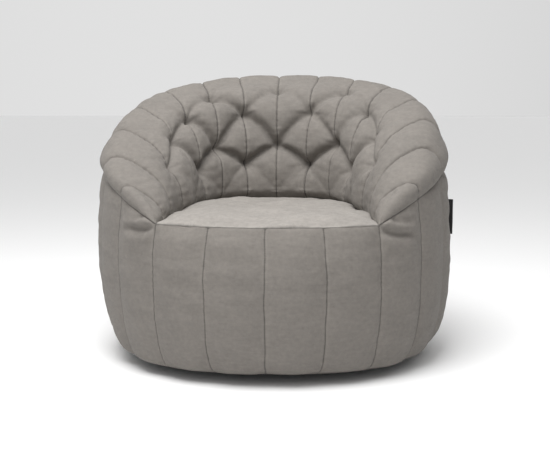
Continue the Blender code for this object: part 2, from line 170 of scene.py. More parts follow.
def way_back(wrap):
    """Share of the way from the nearer seat corner to the middle of the back."""
    return np.minimum(wrap, WRAP_GORES - wrap) / (WRAP_GORES / 2)


def collar(wrap):
    height = SEAT_HEIGHT + COLLAR_RISE * climb(way_back(wrap), COLLAR_POWER)
    return polar(-CORNER_ANGLE - wrap * GORE_ANGLE, CORNER_RADIUS, height)


def crease(wrap):
    """The crease between the seat and the wrap: straight beside the arms, then half an ellipse."""
    share = way_back(wrap)
    corner = polar(CORNER_ANGLE, CORNER_RADIUS, SEAT_HEIGHT)
    arm_end = np.array([ARM_HALF_SPACING, ARM_END_Y, SEAT_HEIGHT])
    along = np.clip(share * 2, 0, 1)[..., None]
    straight = corner + (arm_end - corner) * along
    turn = np.clip((share - 0.5) * math.pi, 0, None)
    x, y = ARM_HALF_SPACING * np.cos(turn), ARM_END_Y + (SEAT_BACK_Y - ARM_END_Y) * np.sin(turn)
    bend = np.stack(np.broadcast_arrays(x, y, SEAT_HEIGHT), axis=-1)
    points = np.where(share[..., None] < 0.5, straight, bend)
    points[..., 0] *= np.where(wrap < WRAP_GORES / 2, -1, 1)
    return points


def behind(wrap):
    """1 across the back, 0 along the arms."""
    return smooth((5.6 - np.abs(wrap - WRAP_GORES / 2)) / 1.4)


def inner_back(wrap, over):
    """1 on the back's inner side, which is the tufted one, and 0 on the rest of the wrap."""
    return smooth((over - 0.44) / 0.14) * behind(wrap)


def wrap_section(wrap, over, forward):
    """Points of the wrap, and how far up its section each is. over goes from 0 at the collar seam,
    over the top, to 1 at the crease, and forward is how far the crest leans towards the seat."""
    outer, inner = collar(wrap), crease(wrap)
    middle, half = (outer + inner) / 2, (outer - inner) / 2
    top = SEAT_HEIGHT + (TOP_HEIGHT - SEAT_HEIGHT) * climb(way_back(wrap), TOP_POWER)
    middle_back = smooth((3.9 - np.abs(wrap - WRAP_GORES / 2)) / 2.4)
    power = WRAP_POWER + BACK_SQUARENESS * middle_back * smooth((over - 0.45) / 0.1)
    crest = over - forward * middle_back * np.sin(over * math.pi) ** 2
    across, up = np.cos(over * math.pi), np.sin(crest * math.pi)
    across = np.sign(across) * np.abs(across) ** (2 / power)
    up = np.abs(up) ** (2 / power)
    points = middle + half * across[..., None]
    points[..., 2] += (top - middle[..., 2]) * up
    return points, up


def crest_lifts():
    """What brings the leaning crest back up to the design's height, all along the wrap."""
    wrap, over = np.meshgrid(np.linspace(0, WRAP_GORES, 129), np.linspace(0, 1, 201))
    upright, _ = wrap_section(wrap, over, 0.0)
    leaning, _ = wrap_section(wrap, over, CREST_FORWARD)
    return wrap[0], (upright[..., 2].max(axis=0) - leaning[..., 2].max(axis=0))


def wrap_surface(wrap, over):
    points, up = wrap_section(wrap, over, CREST_FORWARD)
    points[..., 2] += np.interp(wrap, *CREST_LIFTS) * up
    return points


CREST_LIFTS = crest_lifts()


def wall_top(angle):
    """The radius and height of the side's upper edge."""
    share = np.clip(np.abs(angle) / CORNER_ANGLE, 0, 1)
    radius = FRONT_EDGE_RADIUS + (CORNER_RADIUS - FRONT_EDGE_RADIUS) * share**2
    wrap = np.clip((np.abs(angle) - CORNER_ANGLE) / GORE_ANGLE, 0, WRAP_GORES / 2)
    height = SEAT_HEIGHT + COLLAR_RISE * climb(wrap / (WRAP_GORES / 2), COLLAR_POWER)
    return radius, height


def rim_radius(angle):
    return BASE_RADIUS * (1 + BASE_SQUARENESS * np.sin(2 * angle) ** 2)


def wall_surface(angle, up):
    """Points of the side. up goes from 0 at the base seam to 1 at the top of the side."""
    top_radius, top_height = wall_top(angle)
    height = BASE_SEAM_HEIGHT + (top_height - BASE_SEAM_HEIGHT) * up
    below = np.clip(1 - (height - BASE_SEAM_HEIGHT) / (BELLY_HEIGHT - BASE_SEAM_HEIGHT), 0, 1)
    out = (1 - below**WALL_POWER) ** (1 / WALL_POWER)
    foot = rim_radius(angle)
    lower = foot + (SEAM_RADIUS - foot) * out
    above = np.clip((height - BELLY_HEIGHT) / (top_height - BELLY_HEIGHT), 0, 1)
    upper = SEAM_RADIUS + (top_radius - SEAM_RADIUS) * above**2
    return polar(angle, np.where(height < BELLY_HEIGHT, lower, upper), height)


# --- Mesh helpers ---------------------------------------------------------------------------


def gore_stations(gores, columns):
    """Places along a row of gores, closer together beside the seams."""
    share = np.linspace(0, 1, columns + 1)[:-1]
    share = share - SEAM_CROWDING * np.sin(2 * np.pi * share)
    return np.append((np.arange(gores)[:, None] + share).ravel(), gores)


def grid_faces(rows, columns, wrap=False):
    index = np.arange(rows * columns).reshape(rows, columns)
    right = np.roll(index, -1, axis=1) if wrap else index[:, 1:]
    left = index if wrap else index[:, :-1]
    return np.stack([left[:-1], right[:-1], right[1:], left[1:]], axis=-1).reshape(-1, 4)


def normals_of(points):
    """Outward normals of a grid of points, rows from the bottom up and columns left to right."""
    du = np.gradient(points, axis=1)
    dv = np.gradient(points, axis=0)
    normal = np.cross(du, dv)
    length = np.linalg.norm(normal, axis=-1, keepdims=True)
    return normal / np.maximum(length, 1e-9)


def groove(distance, depth, width):
    """A soft groove along a line. With a negative depth it is a ridge."""
    return -depth * np.exp(-((distance / width) ** 2))


def rounded(share):
    """A quarter of a circle: it rises steeply from 0 and reaches 1 level."""
    return np.sqrt(1 - (1 - np.clip(share, 0, 1)) ** 2)


def waves(points, scale, seed):
    """Smooth noise between about -1 and 1, from a few waves in random directions."""
    made = np.random.default_rng(seed)
    total = np.zeros(points.shape[:-1])
    for octave in range(2):
        for _ in range(7):
            way = made.normal(size=3)
            way *= 2 * math.pi * 2**octave / scale / np.linalg.norm(way)
            phase = made.uniform(0, 2 * math.pi)
            total += np.sin(points @ way + phase) / (2.6 * 1.6**octave)
    return total


def new_object(name, points, faces, material):
    data = bpy.data.meshes.new(name)
    data.from_pydata([tuple(p) for p in points.reshape(-1, 3)], [], [list(f) for f in faces])
    mesh = bmesh.new()
    mesh.from_mesh(data)
    bmesh.ops.remove_doubles(mesh, verts=mesh.verts, dist=0.0002)
    bmesh.ops.dissolve_degenerate(mesh, edges=mesh.edges, dist=0.0001)
    bmesh.ops.recalc_face_normals(mesh, faces=mesh.faces)
    mesh.to_mesh(data)
    mesh.free()
    data.materials.append(material)
    data.shade_smooth()
    thing = bpy.data.objects.new(name, data)
    bpy.context.scene.collection.objects.link(thing)
    return thing


# --- Cloth ----------------------------------------------------------------------------------


def simulate(thing, pins, slack, pressure, cap):
    """Lets the cloth settle. Pins are how firmly each point is held, slack is how much longer than
    its form the cloth is there, and cap is about the most that a point may move."""
    start = np.array([v.co[:] for v in thing.data.vertices])
    held = thing.vertex_groups.new(name="held")
    loose = thing.vertex_groups.new(name="loose")
    most = float(np.max(slack))
    for index in range(len(start)):
        if pins[index] > 0.01:
            held.add([index], float(min(pins[index], 1.0)), "REPLACE")
        loose.add([index], float(slack[index]) / most, "REPLACE")
    cloth = thing.modifiers.new("cloth", "CLOTH")
    settings = cloth.settings
    settings.quality = 6
    settings.mass = 0.15
    settings.tension_stiffness = settings.compression_stiffness = 12
    settings.shear_stiffness = 4
    settings.bending_stiffness = 0.35
    settings.air_damping = 4
    settings.use_pressure = True
    settings.uniform_pressure_force = pressure
    settings.shrink_min, settings.shrink_max = 0.0, -most
    settings.vertex_group_shrink = "loose"
    settings.vertex_group_mass = "held"
    settings.pin_stiffness = 1.0
    settings.effector_weights.gravity = 0.0
    cloth.collision_settings.use_collision = False
    cloth.collision_settings.use_self_collision = False
    scene = bpy.context.scene
    cloth.point_cache.frame_start, cloth.point_cache.frame_end = 1, SETTLING_FRAMES
    scene.frame_start, scene.frame_end = 1, SETTLING_FRAMES
    for step in range(1, SETTLING_FRAMES + 1):
        scene.frame_set(step)
    settled = thing.evaluated_get(bpy.context.evaluated_depsgraph_get())
    end = np.array([v.co[:] for v in settled.data.vertices])
    thing.modifiers.remove(cloth)
    thing.vertex_groups.clear()
    move = end - start
    length = np.linalg.norm(move, axis=1, keepdims=True)
    move *= cap * np.tanh(length / cap) / np.maximum(length, 1e-9)
    thing.data.vertices.foreach_set("co", (start + move).ravel())
    thing.data.update()
    scene.frame_set(1)


def spread(field, points, thing):
    """The fields of the points that a mesh was made from, for the mesh's own points."""
    flat = points.reshape(-1, 3)
    tree = KDTree(len(flat))
    for index, point in enumerate(flat):
        tree.insert(point, index)
    tree.balance()
    found = [tree.find(v.co)[1] for v in thing.data.vertices]
    return {name: values.reshape(-1)[found] for name, values in field.items()}


def refine(thing, field, detail):
    """Subdivides the settled cloth once, and then gives it the detail that it was too coarse for.
    Each point keeps how far it is from a seam, and its place along it, for the materials."""
    for name, values in field.items():
        thing.data.attributes.new(name, "FLOAT", "POINT").data.foreach_set("value", values)
    finer = thing.modifiers.new("finer", "SUBSURF")
    finer.levels = 1
    ready = thing.evaluated_get(bpy.context.evaluated_depsgraph_get())
    mesh = bpy.data.meshes.new_from_object(ready)
    thing.modifiers.remove(finer)
    thing.data = mesh
    points, normals = np.empty(len(mesh.vertices) * 3), np.empty(len(mesh.vertices) * 3)
    mesh.vertices.foreach_get("co", points)
    mesh.vertex_normals.foreach_get("vector", normals)
    points, normals = points.reshape(-1, 3), normals.reshape(-1, 3)
    fine = {}
    for name in field:
        fine[name] = np.empty(len(points))
        mesh.attributes[name].data.foreach_get("value", fine[name])
        mesh.attributes.remove(mesh.attributes[name])
    points = points + normals * detail(points, fine)[:, None]
    mesh.vertices.foreach_set("co", points.ravel())
    seam = fine["seam"] if "seam" in fine else from_gore_seam(fine)
    along = fine["along"] if "along" in fine else fine["distance"]
    for name, values in (("from_seam", np.minimum(seam, fine["edge"])), ("along_seam", along)):
        mesh.attributes.new(name, "FLOAT", "POINT").data.foreach_set("value", values)
    mesh.update()
    mesh.shade_smooth()


# --- The wrap: arms and back ----------------------------------------------------------------

# Each seam's tufts, by their distances from the crease up the inner side. Row 0 is the top one,
# and a tuft sits on every other seam of a row.
TUFTS = {
    3: {3: 0.124},
    4: {2: 0.188},
    5: {1: 0.243, 3: 0.094},
    6: {0: 0.313, 2: 0.155},
    7: {1: 0.254, 3: 0.115},
    8: {0: 0.340, 2: 0.164},
    9: {1: 0.258, 3: 0.110},
    10: {0: 0.332, 2: 0.166},
    11: {1: 0.254, 3: 0.096},
    12: {2: 0.177},
    13: {3: 0.112},
}
ROW_STEP = 0.080

# How deep the folds are between one tuft and the next row's, on the seam to the left or right
FOLDS = {
    (6, 0): (0.30, 0.90),
    (8, 0): (0.30, 0.25),
    (10, 0): (0.60, 0.15),
    (5, 1): (0.50, 0.90),
    (7, 1): (0.65, 1.00),
    (9, 1): (0.60, 0.40),
    (11, 1): (0.25, 0.45),
    (4, 2): (0.60, 0.70),
    (6, 2): (0.90, 0.95),
    (8, 2): (0.95, 1.00),
    (10, 2): (1.00, 0.50),
    (12, 2): (0.60, 0.55),
}
FOLD_DEPTH = 0.029
FOLD_SPACING = 0.120  # between one fold and the next one along it
FOLD_BOW = 0.13  # of a row, upwards in the middle of a gore
FOLD_ABOVE = 0.011  # how far a fold draws in the cloth above it
FOLD_BELOW = 0.016
HELD_TUFT = 0.014  # how much deeper a tuft is than its folds
TUFT_RADIUS = 0.017
TUFT_CREASE = 0.0034
END_CREASE = 0.0030  # of the creases that fan out where a seam meets the seat

# How far the cloth stands out from the wrap's middle surface
WRAP_PUFF = 0.011  # a gore, along the arms
BACK_PUFF = 0.006  # a gore, outside the back
CELL_PUFF = 0.007  # the cloth between four tufts
HEM = 0.030  # how far from its edges the wrap has its full height


def row_places():
    """The distance of every row at every seam: a tuft's own, or the mean of its neighbours'."""
    places = np.full((WRAP_GORES + 1, 4), np.nan)
    for seam, tufts in TUFTS.items():
        for row, distance in tufts.items():
            places[seam, row] = distance
    filled = places.copy()
    for seam in range(WRAP_GORES + 1):
        for row in range(4):
            if np.isnan(places[seam, row]):
                beside = [places[n, row] for n in (seam - 1, seam + 1) if 0 <= n <= WRAP_GORES]
                beside = [place for place in beside if not np.isnan(place)]
                if beside:
                    filled[seam, row] = np.mean(beside)
    for seam in range(WRAP_GORES + 1):
        known = [r for r in range(4) if not np.isnan(filled[seam, r])]
        for row in range(4):
            if np.isnan(filled[seam, row]):
                if known:
                    nearest = min(known, key=lambda r: abs(r - row))
                    filled[seam, row] = filled[seam, nearest] + (nearest - row) * ROW_STEP
                else:
                    filled[seam, row] = 0.115 + (3 - row) * ROW_STEP
    return filled


ROW_PLACES = row_places()


def tuft_row(wrap, distance):
    """Where a distance from the crease falls among the rows of tufts."""
    seams = np.arange(WRAP_GORES + 1)
    rows = [np.interp(wrap, seams, ROW_PLACES[:, row]) for row in range(4)]
    top, bottom = rows[0] - distance, distance - rows[3]
    row = np.where(top < 0, top / ROW_STEP, 3 - bottom / ROW_STEP)
    for line in range(3):
        high, low = rows[line], rows[line + 1]
        share = (high - distance) / (high - low)
        row = np.where((share >= 0) & (share <= 1), line + share, row)
    return row


def from_gore_seam(field):
    """How far each point of the wrap is from the nearest seam between two gores."""
    return np.abs((field["wrap"] + 0.5) % 1 - 0.5) * field["gore"]


def lobe(place, roundness):
    """A gore's cross-section: 0 at its seams, 1 in the middle."""
    return np.abs(np.sin(np.pi * place)) ** roundness


def fold_pull(wrap, row):
    """How strongly the folds draw the cloth in, from 0 to 1; steeper above a fold than below it."""
    row = row + FOLD_BOW * lobe(wrap, 0.8)
    total = np.zeros_like(wrap)
    for (seam, line), weights in FOLDS.items():
        for side, weight in zip((-1, 1), weights):
            across, down = side * (wrap - seam), row - line
            along, above = (across + down) / 2, (across - down) / 2
            beyond = np.clip(np.maximum(-along, along - 1), 0, None)
            away = np.hypot(above, beyond) * FOLD_SPACING
            reach = np.where(above > 0, FOLD_ABOVE, FOLD_BELOW)
            total = np.maximum(total, weight * np.exp(-((away / reach) ** 1.35)))
    return total


def wrap_grid():
    """The wrap's middle surface as a grid, with what each point needs to be shaped by."""
    wraps = gore_stations(WRAP_GORES, GORE_COLUMNS)[::-1]
    fine = np.linspace(0, 1, 401)
    shares = np.linspace(0, 1, WRAP_ROWS + 1)
    overs, distances = [], []
    for wrap in wraps:
        line = wrap_surface(np.full_like(fine, wrap), fine)
        steps = np.linalg.norm(np.diff(line, axis=0), axis=1)
        length = np.append(0, np.cumsum(steps))
        total = max(length[-1], 1e-9)
        overs.append(np.interp(shares, length / total, fine) if total > 1e-6 else shares)
        distances.append((1 - shares) * total)
    over, distance = np.array(overs).T, np.array(distances).T
    wrap = np.broadcast_to(wraps, over.shape).copy()
    points = wrap_surface(wrap, over)
    lift = np.interp(wrap, list(ARM_LIFTS), list(ARM_LIFTS.values()))
    points[..., 2] += lift * np.sin(np.pi * over)
    steps = np.gradient(points, axis=1)
    gore = np.linalg.norm(steps, axis=-1) / np.abs(np.gradient(wrap, axis=1))
    edge = np.minimum(distance, distance[0] - distance)
    return points, {"wrap": wrap, "over": over, "distance": distance, "gore": gore, "edge": edge}


def wrap_relief(field):
    """How far each point stands out from the wrap's middle surface."""
    wrap, over, distance = field["wrap"], field["over"], field["distance"]
    row = tuft_row(wrap, distance)
    height = WRAP_PUFF - (WRAP_PUFF - BACK_PUFF) * behind(wrap)
    gores = (lobe(wrap, 0.42) - 0.45) * height
    bowed = row + FOLD_BOW * lobe(wrap, 0.8)
    rising, falling = (wrap + bowed) / 2, (wrap - bowed) / 2
    cells = np.sqrt(np.abs(np.sin(np.pi * rising) * np.sin(np.pi * falling)))
    cells *= smooth(row + 1.3)
    puffs = CELL_PUFF * cells + 0.003 * lobe(wrap, 0.6) - FOLD_DEPTH * fold_pull(wrap, row) + 0.004
    back = inner_back(wrap, over)
    relief = gores * (1 - back) + puffs * back
    size = smooth(way_back(wrap) * 4)
    sewn, rolled = rounded(field["edge"] / HEM), rounded(distance / HEM)
    rolled *= np.exp(-((distance / 0.19) ** 2)) * smooth((over - 0.6) / 0.2)
    hung = groove(field["edge"] - HEM, -OVERHANG, 0.028) * (over < 0.5)
    return relief * (0.4 + 0.6 * size) * sewn + LOW_ROLL * rolled * behind(wrap) + hung * sewn


def around_tufts(field):
    """Every tuft's own polar places: the distance from it in metres, and the angle round it."""
    for seam, tufts in TUFTS.items():
        for distance in tufts.values():
            across = (field["wrap"] - seam) * field["gore"]
            up = field["distance"] - distance
            yield np.hypot(across, up), np.arctan2(across, up)


def inner_side(field):
    """0 on the wrap's outer side, 1 on its inner one."""
    return smooth((field["over"] - 0.45) / 0.1)


def tuft_dimples(field):
    total = np.zeros_like(field["wrap"])
    for away, _ in around_tufts(field):
        total = np.maximum(total, np.exp(-((away / TUFT_RADIUS) ** 1.3)))
    return total * inner_side(field)


def wrap_detail(points, field):
    """The fine shape of the settled wrap: grooves at its seams, and creases round its tufts."""
    seam = from_gore_seam(field)
    rise = groove(seam, WRAP_GROOVE, SEAM_WIDTH)
    made = np.random.default_rng(5)
    inner = inner_side(field)
    for away, angle in around_tufts(field):
        count, turn = made.integers(6, 10), made.uniform(0, 2 * math.pi)
        bend = turn + 0.5 * np.sin(2 * angle + turn)
        ray = (0.5 + 0.5 * np.cos(count * angle + bend)) ** 3
        reach = (away / 0.010) ** 2 * np.exp(-away / 0.0125) * 0.5
        rise -= TUFT_CREASE * ray * reach * inner
    for line in range(WRAP_GORES + 1):
        across, up = (field["wrap"] - line) * field["gore"], field["distance"]
        away, angle = np.hypot(across, up), np.arctan2(across, up + 1e-6)
        turn = made.uniform(0, 2 * math.pi)
        ray = (0.5 + 0.5 * np.cos(9 * angle + turn)) ** 3
        rise -= END_CREASE * ray * (away / 0.014) * np.exp(-away / 0.014) * smooth(up / 0.01)
    pucker = np.sin(field["distance"] * 2 * math.pi / 0.019 + 3 * np.sin(field["distance"] * 31))
    rise += 0.0007 * pucker * np.exp(-seam / 0.010)
    rise += 0.0006 * waves(points, 0.05, 8)
    return rise * smooth(field["edge"] / DETAIL_FADE)


def make_wrap(material):
    points, field = wrap_grid()
    normal = normals_of(points)
    rise = wrap_relief(field) - HELD_TUFT * tuft_dimples(field)
    shaped = points + normal * rise[..., None]
    thing = new_object("backrest_and_arms", shaped, grid_faces(*points.shape[:2]), material)
    field = spread(field, shaped, thing)
    wrap, edge = field["wrap"], field["edge"]
    seam = np.abs((wrap + 0.5) % 1 - 0.5)
    row = tuft_row(wrap, field["distance"])
    back = inner_back(wrap, field["over"])
    pins = np.where(seam < 0.01, 0.85 - 0.70 * back, 0)
    pins = np.maximum(pins, np.where(edge < WRAP_PINNED_EDGE, 1, 0))
    pins = np.maximum(pins, np.where(tuft_dimples(field) > 0.75, 1, 0))
    pins = np.maximum(pins, 0.35 * fold_pull(wrap, row) * back)
    slack = 0.012 + 0.034 * smooth((field["over"] - 0.50) / 0.15)
    slack += 0.030 * smooth((field["over"] - 0.55) / 0.1) * (1 - behind(wrap))
    simulate(thing, pins, slack, pressure=2.0, cap=0.016)
    refine(thing, field, wrap_detail)
    return thing


# --- The base: side gores, underside and seat -----------------------------------------------

# The two folds below the end of each arm: which side, how the lower one slopes as it runs back,
# and how high above the seat's seam the upper one starts
ARM_FOLDS = ((-1, -0.18, 0.020), (1, -0.33, 0.016))
BASE_PUFF = 0.010  # of a gore
FRONT_TAUTNESS = 0.003  # how much less the gores under the seat's front seam stand out
BASE_HEM = 0.045  # how far from its edges the side has its full puff
SEAT_TUCK_DEPTH = 0.018
SEAT_MIDDLE = np.array([0.0, SEAT_MIDDLE_Y, SEAT_HEIGHT])


def base_detail(points, field):
    """Grooves at the gores' seams, puckers beside them, and the folds that fan out below an arm."""
    seam, along = field["seam"], field["along"]
    rise = groove(seam, SEAM_GROOVE, SEAM_WIDTH)
    pucker = np.sin(along * 2 * math.pi / 0.023 + 3 * np.sin(along * 27))
    rise += 0.0006 * pucker * np.exp(-seam / 0.012)
    rise += 0.0011 * waves(points * np.array([1, 1, 2.2]), 0.14, 3) * smooth(seam / 0.02)
    angle = np.arctan2(points[:, 0], -points[:, 1] / DEPTH_SHARE)
    up = points[:, 2] - SEAT_HEIGHT
    for side, slope, start in ARM_FOLDS:
        out = (side * angle - CORNER_ANGLE) * SEAM_RADIUS
        fade = smooth(out / 0.022) * (1 - smooth((out - 0.080) / 0.055))
        low = up - slope * out + 0.004 + 0.006 * np.sin(out * 48)
        high = up - start + 0.013 * np.sin(np.pi * np.clip((out - 0.035) / 0.11, 0, 1))
        fold = groove(low, 0.0085, 0.0085)
        fold += groove(high, 0.0080, 0.0085) * smooth((out - 0.03) / 0.02)
        fold += groove(low - 0.020, -0.0080, 0.014) + groove(low + 0.024, -0.0060, 0.018)
        rise += fold * fade
    return rise * smooth(field["edge"] / DETAIL_FADE)


def make_base(material):
    places = gore_stations(GORES, BASE_COLUMNS)[:-1]
    ups = np.linspace(0, 1, WALL_ROWS + 1) ** 1.25
    place, up = np.meshgrid(places, ups)
    seam_line = np.round(place) % GORES
    wander = np.sin(13 * up + 2.1 * seam_line) + 0.6 * np.sin(29 * up + 4.3 * seam_line)
    wander *= (0.5 + 0.5 * np.cos(2 * math.pi * place)) * smooth(up / 0.1) * smooth((1 - up) / 0.1)
    angle = place * GORE_ANGLE - CORNER_ANGLE + SEAM_WANDER / SEAM_RADIUS * wander
    angle = (angle + math.pi) % (2 * math.pi) - math.pi
    points = wall_surface(angle, up)
    ring = np.concatenate([points[:, -1:], points, points[:, :1]], axis=1)
    normal = normals_of(ring)[:, 1:-1]
    steps = np.linalg.norm(np.diff(points, axis=0), axis=-1)
    along = np.concatenate([np.zeros((1, len(places))), np.cumsum(steps, axis=0)])
    edge = np.minimum(along, along[-1] - along)
    width = GORE_ANGLE * np.hypot(points[..., 0], points[..., 1])
    seam = np.abs((place + 0.5) % 1 - 0.5) * width
    sewn = rounded(edge / BASE_HEM)
    front = np.exp(-((angle / CORNER_ANGLE / 1.6) ** 4))
    low = np.exp(-((along / 0.16) ** 2))
    rise = (BASE_PUFF - FRONT_TAUTNESS * front) * (lobe(place, 0.7) - 0.9 * low) - 0.001
    left = np.exp(-(((angle + math.pi / 2) / 0.9) ** 2)) * np.exp(-(((along - 0.12) / 0.13) ** 2))
    points = points + normal * (rise * sewn - LEFT_SLUMP * left * sewn)[..., None]
    thing = new_object("base_side", points, grid_faces(*points.shape[:2], wrap=True), material)
    field = spread({"seam": seam, "along": along, "edge": edge}, points, thing)
    pins = np.where(field["seam"] < 0.001, 0.9, 0)
    pins = np.maximum(pins, np.where(field["edge"] < PINNED_EDGE, 1, 0))
    simulate(thing, pins, np.full(len(pins), 0.012), pressure=1.2, cap=0.010)
    refine(thing, field, base_detail)
    return thing


def seat_detail(points, field):
    """The seat's unevenness, the pinch beside the right arm, and puckers along its seams."""
    x, y = points[:, 0], points[:, 1]
    rise = 0.0030 * waves(points * np.array([1, 1.4, 1]), 0.22, 12)
    rise += 0.0007 * waves(points * np.array([1, 2, 1]), 0.06, 4)
    hole = np.hypot(x - SEAT_TUCK[0], y - SEAT_TUCK[1])
    angle = np.arctan2(y - SEAT_TUCK[1], x - SEAT_TUCK[0])
    rise += groove(hole, SEAT_TUCK_DEPTH, 0.008) + groove(hole, SEAT_TUCK_DEPTH / 2, 0.024)
    lip = np.hypot(x - SEAT_TUCK[0] + 0.010, (y - SEAT_TUCK[1] - 0.030) / 0.8)
    rise += groove(lip, -0.008, 0.016)
    ray = (0.5 + 0.5 * np.cos(5 * angle + 1)) ** 3
    rise -= 0.0040 * ray * (hole / 0.02) * np.exp(-hole / 0.02)
    pucker = np.sin(np.arctan2(y - SEAT_MIDDLE_Y, x) * 64)
    rise += 0.0008 * pucker * np.exp(-field["edge"] / 0.012)
    return rise * smooth(field["edge"] / DETAIL_FADE)


def make_seat(material):
    front = gore_stations(FRONT_GORES, SEAT_COLUMNS) * GORE_ANGLE - CORNER_ANGLE
    radius, height = wall_top(front)
    edge_front = polar(front, radius, height)
    back = gore_stations(WRAP_GORES, SEAT_COLUMNS)[::-1]
    edge_back = crease(back)
    rim = np.concatenate([edge_front, edge_back[1:-1]])
    shares = 1 - np.linspace(0, 1, SEAT_RINGS + 1) ** 1.4
    rings = SEAT_MIDDLE + (rim - SEAT_MIDDLE) * shares[:, None, None]
    edge = np.linalg.norm(rim - rings, axis=-1)
    crown = SEAT_CROWN * rounded(edge / SEAT_ROLL)
    sat_on = np.hypot(rings[..., 0] / 0.12, (rings[..., 1] + 0.06) / 0.17)
    rings[..., 2] += crown + groove(sat_on, SEAT_DIP, 1) * smooth(edge / 0.05)
    thing = new_object("seat", rings, grid_faces(*rings.shape[:2], wrap=True), material)
    field = spread({"edge": edge}, rings, thing)
    pins = np.where(field["edge"] < PINNED_EDGE, 1, 0)
    simulate(thing, pins, np.full(len(pins), 0.02), pressure=0.8, cap=0.006)
    field["seam"] = field["edge"]
    field["along"] = np.array([v.co[0] for v in thing.data.vertices])
    refine(thing, field, seat_detail)
    return thing


def underside_row(angle):
    """Points across the right half of the underside, from its rim to the zip's slot."""
    rim = polar(angle, rim_radius(angle), 0.0)
    slot = ZIP_SLOT_HALF_LENGTH + ZIP_SLOT_RUN_OUT - abs(rim[1])
    edge = min(ZIP_SLOT_HALF_WIDTH * np.clip(slot / ZIP_SLOT_RUN_OUT, 0, 1), rim[0])
    x = edge + (rim[0] - edge) * np.linspace(1, 0, UNDERSIDE_COLUMNS + 1)
    y = np.full_like(x, rim[1])
    radius, around = np.hypot(x, y / DEPTH_SHARE), np.arctan2(x, -y / DEPTH_SHARE)
    lift = smooth((radius - FLAT_RADIUS) / (rim_radius(around) - FLAT_RADIUS))
    valley_width = ZIP_VALLEY_HALF_WIDTH - ZIP_SLOT_HALF_WIDTH
    valley = 1 - smooth((x - ZIP_SLOT_HALF_WIDTH) / valley_width)
    z = BASE_SEAM_HEIGHT * lift + ZIP_VALLEY_DEPTH * valley * (1 - lift)
    return np.stack([x, y, z], axis=-1)


def make_underside(material):
    angles = np.linspace(0, math.pi, UNDERSIDE_ROWS + 1)
    half = np.array([underside_row(angle) for angle in angles])
    things = []
    for name, side in (("underside_right", 1), ("underside_left", -1)):
        points = half[::side] * (side, 1, 1)
        things.append(new_object(name, points, grid_faces(*points.shape[:2]), material))
    return things


def make_label(material):
    """A ribbon folded in two, sewn into the side's seam, its free edge bent a little forwards."""
    low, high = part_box("side_label")
    reach = np.linspace(-LABEL_ROOT, high[0] - low[0] + LABEL_OVER, LABEL_COLUMNS)
    turn = np.linspace(0, np.pi, 5)[1:-1]
    leaf = np.concatenate([reach, reach[-1] + LABEL_HALF_FOLD * np.sin(turn), reach[::-1]])
    flat = np.full(LABEL_COLUMNS, LABEL_HALF_FOLD)
    side = np.concatenate([-flat, -LABEL_HALF_FOLD * np.cos(turn), flat])
    way_out = np.clip(leaf / reach[-1], 0, 1)
    rows = []
    for share in np.linspace(0, 1, LABEL_ROWS + 1):
        bend = -LABEL_BEND * way_out**2 + LABEL_WAVE * np.sin(9 * share + 1.0) * way_out
        height = np.full_like(leaf, low[2] + (high[2] - low[2]) * share)
        rows.append(np.stack([low[0] + leaf, side + bend, height], axis=-1))
    points = np.array(rows)
    count = len(leaf)
    faces = [tuple(face) for face in grid_faces(*points.shape[:2], wrap=True)]
    for start in (0, LABEL_ROWS * count):
        for step in range(count // 2):
            left, right = start + step, start + count - 1 - step
            faces.append((left, left + 1, right - 1, right))
    return new_object("side_ribbon", points, [dict.fromkeys(face) for face in faces], material)


def dress_zip():
    """Gives the zip's own CAD nodes their woven tape and moulded plastic."""
    tape, plastic = tape_cloth(), zip_plastic()
    for name in ("zip_tape_right", "zip_tape_left"):
        bpy.data.objects[name].material_slots[0].material = tape
    moulded = ("zip_chain_right", "zip_chain_left", "zip_stop_back", "zip_stop_front", "zip_slider")
    for name in moulded:
        bpy.data.objects[name].material_slots[0].material = plastic


# --- Materials ------------------------------------------------------------------------------


def principled(name, roughness, sheen=0.0):
    """A new material, its node tree and its shader."""
    made = bpy.data.materials.new(name)
    made.use_nodes = True
    shader = made.node_tree.nodes["Principled BSDF"]
    shader.inputs["Roughness"].default_value = roughness
    if sheen:
        shader.inputs["Sheen Weight"].default_value = sheen
        shader.inputs["Sheen Roughness"].default_value = 0.45
    return made, made.node_tree, shader


def add(tree, kind, inputs, **settings):
    """Adds a node. An input is a value, or another node's output to link."""
    made = tree.nodes.new("ShaderNode" + kind)
    for name, value in settings.items():
        setattr(made, name, value)
    for name, value in inputs.items():
        if isinstance(value, bpy.types.NodeSocket):
            tree.links.new(value, made.inputs[name])
        else:
            made.inputs[name].default_value = value
    return made


def maths(tree, operation, first, second=0.0, third=0.0):
    return add(tree, "Math", {0: first, 1: second, 2: third}, operation=operation).outputs[0]


def noise(tree, place, scale, detail=2.0, roughness=0.5):
    """Noise between about -1 and 1."""
    inputs = {"Vector": place, "Scale": scale, "Detail": detail, "Roughness": roughness}
    made = add(tree, "TexNoise", inputs)
    return maths(tree, "MULTIPLY_ADD", made.outputs["Fac"], 4.0, -2.0)


def stretched(tree, place, stretch):
    return add(tree, "Mapping", {"Vector": place, "Scale": stretch}).outputs[0]


def ripple(tree, value, period):
    """A wave along a value, between -1 and 1."""
    return maths(tree, "SINE", maths(tree, "MULTIPLY", value, 2 * math.pi / period))


def near(tree, value, width):
    """1 where a distance is 0, falling to nothing over about twice the width."""
    ratio = maths(tree, "DIVIDE", value, width)
    square = maths(tree, "MULTIPLY", ratio, ratio)
    return maths(tree, "EXPONENT", maths(tree, "MULTIPLY", square, -1.0))


def weighted(tree, parts, start):
    """A start value and the sum of some values by their weights."""
    total = start
    for value, weight in parts:
        total = maths(tree, "MULTIPLY_ADD", value, weight, total)
    return total


